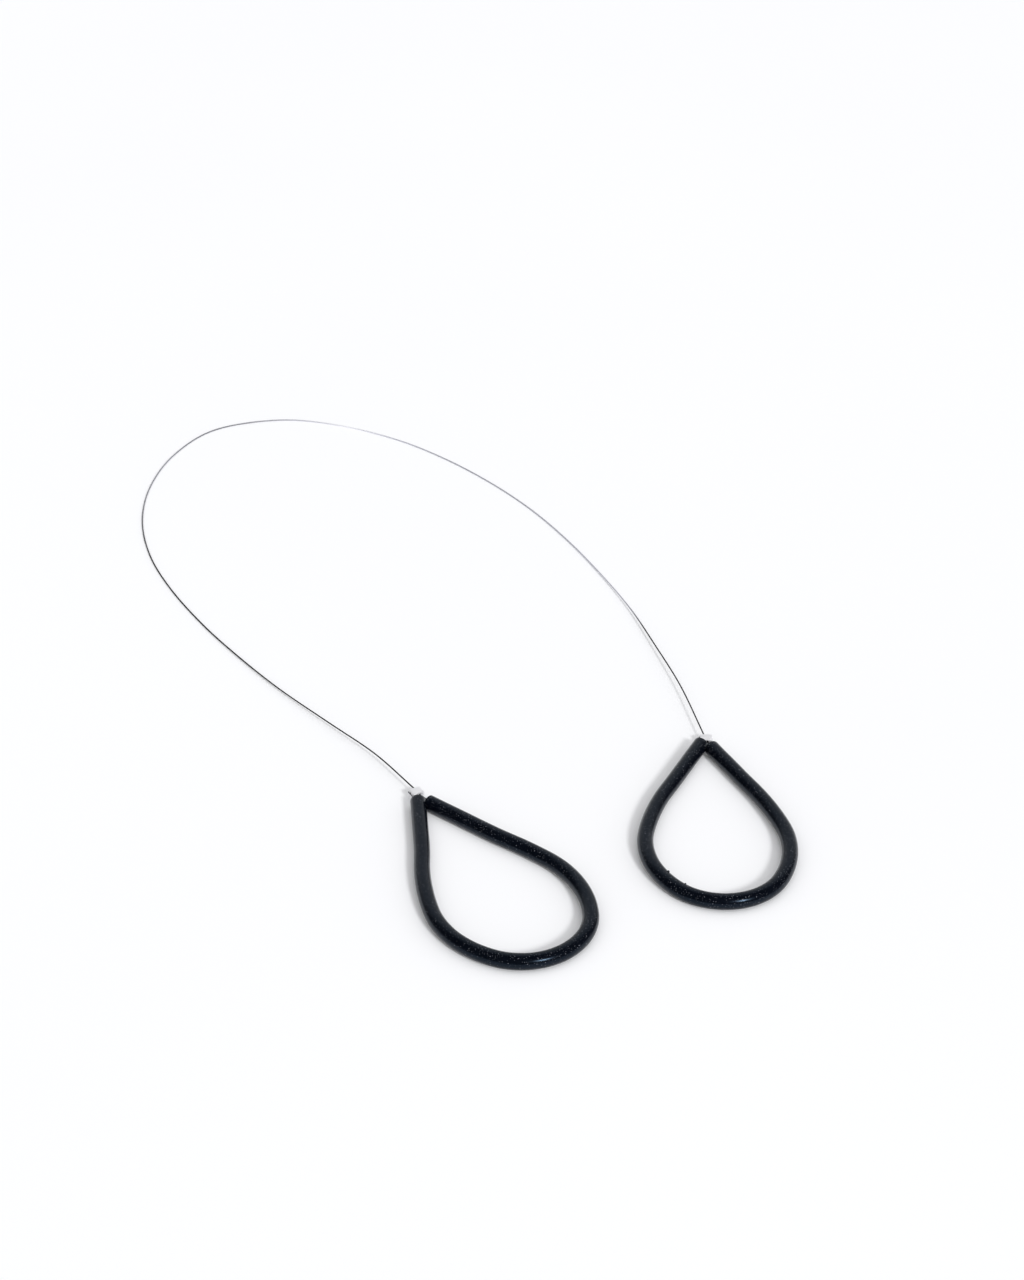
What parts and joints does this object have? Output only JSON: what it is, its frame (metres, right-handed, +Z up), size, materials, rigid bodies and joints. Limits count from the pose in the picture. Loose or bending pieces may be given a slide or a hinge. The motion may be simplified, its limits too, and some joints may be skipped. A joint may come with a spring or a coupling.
{
  "type": "clay cutter",
  "caption": "Wire clay cutter: a springy steel wire with a teardrop loop grip of black rubber tube at each end, held by crimped sleeves.",
  "frame": {"origin": "centre of the underside of the box round both handles, on the surface that the cutter lies on", "axes": "+X from the left handle to the right one, +Y away from the handles towards the far bend of the wire, +Z up"},
  "size_m": [0.2281, 0.3354, 0.005],
  "materials": {
    "steel_wire": "smooth bright drawn spring steel wire",
    "aluminium_sleeve": "satin aluminium, lightly pressed",
    "rubber_tube": "smooth satin black rubber with a few pale dust specks"
  },
  "bodies": {
    "wire": {"cutting_wire": "steel_wire"},
    "left_crimp": {"left_sleeve": "aluminium_sleeve", "left_crimped_wire": "steel_wire"},
    "left_handle": {"left_grip": "rubber_tube", "left_loop_wire": "steel_wire"},
    "right_crimp": {"right_sleeve": "aluminium_sleeve", "right_crimped_wire": "steel_wire"},
    "right_handle": {"right_grip": "rubber_tube", "right_loop_wire": "steel_wire"}
  },
  "joints": [
    {"name": "left_swing", "type": "hinge", "parent": "wire", "child": "left_crimp", "pos_m": [-0.05826, 0.02803, 0.0025], "axis": [0, 0, 1], "range_deg": [-75, 5], "stiffness_Nm_per_rad": 0.013},
    {"name": "left_fold", "type": "hinge", "parent": "left_crimp", "child": "left_handle", "pos_m": [-0.05661, 0.02437, 0.0025], "axis": [0.8634, 0.5045, 0], "range_deg": [-75, 75], "stiffness_Nm_per_rad": 0.15},
    {"name": "right_swing", "type": "hinge", "parent": "wire", "child": "right_crimp", "pos_m": [0.03552, 0.05691, 0.0025], "axis": [0, 0, 1], "range_deg": [-5, 75], "stiffness_Nm_per_rad": 0.013},
    {"name": "right_fold", "type": "hinge", "parent": "right_crimp", "child": "right_handle", "pos_m": [0.03602, 0.05292, 0.0025], "axis": [0.9998, 0.0192, 0], "range_deg": [-75, 75], "stiffness_Nm_per_rad": 0.15}
  ]
}
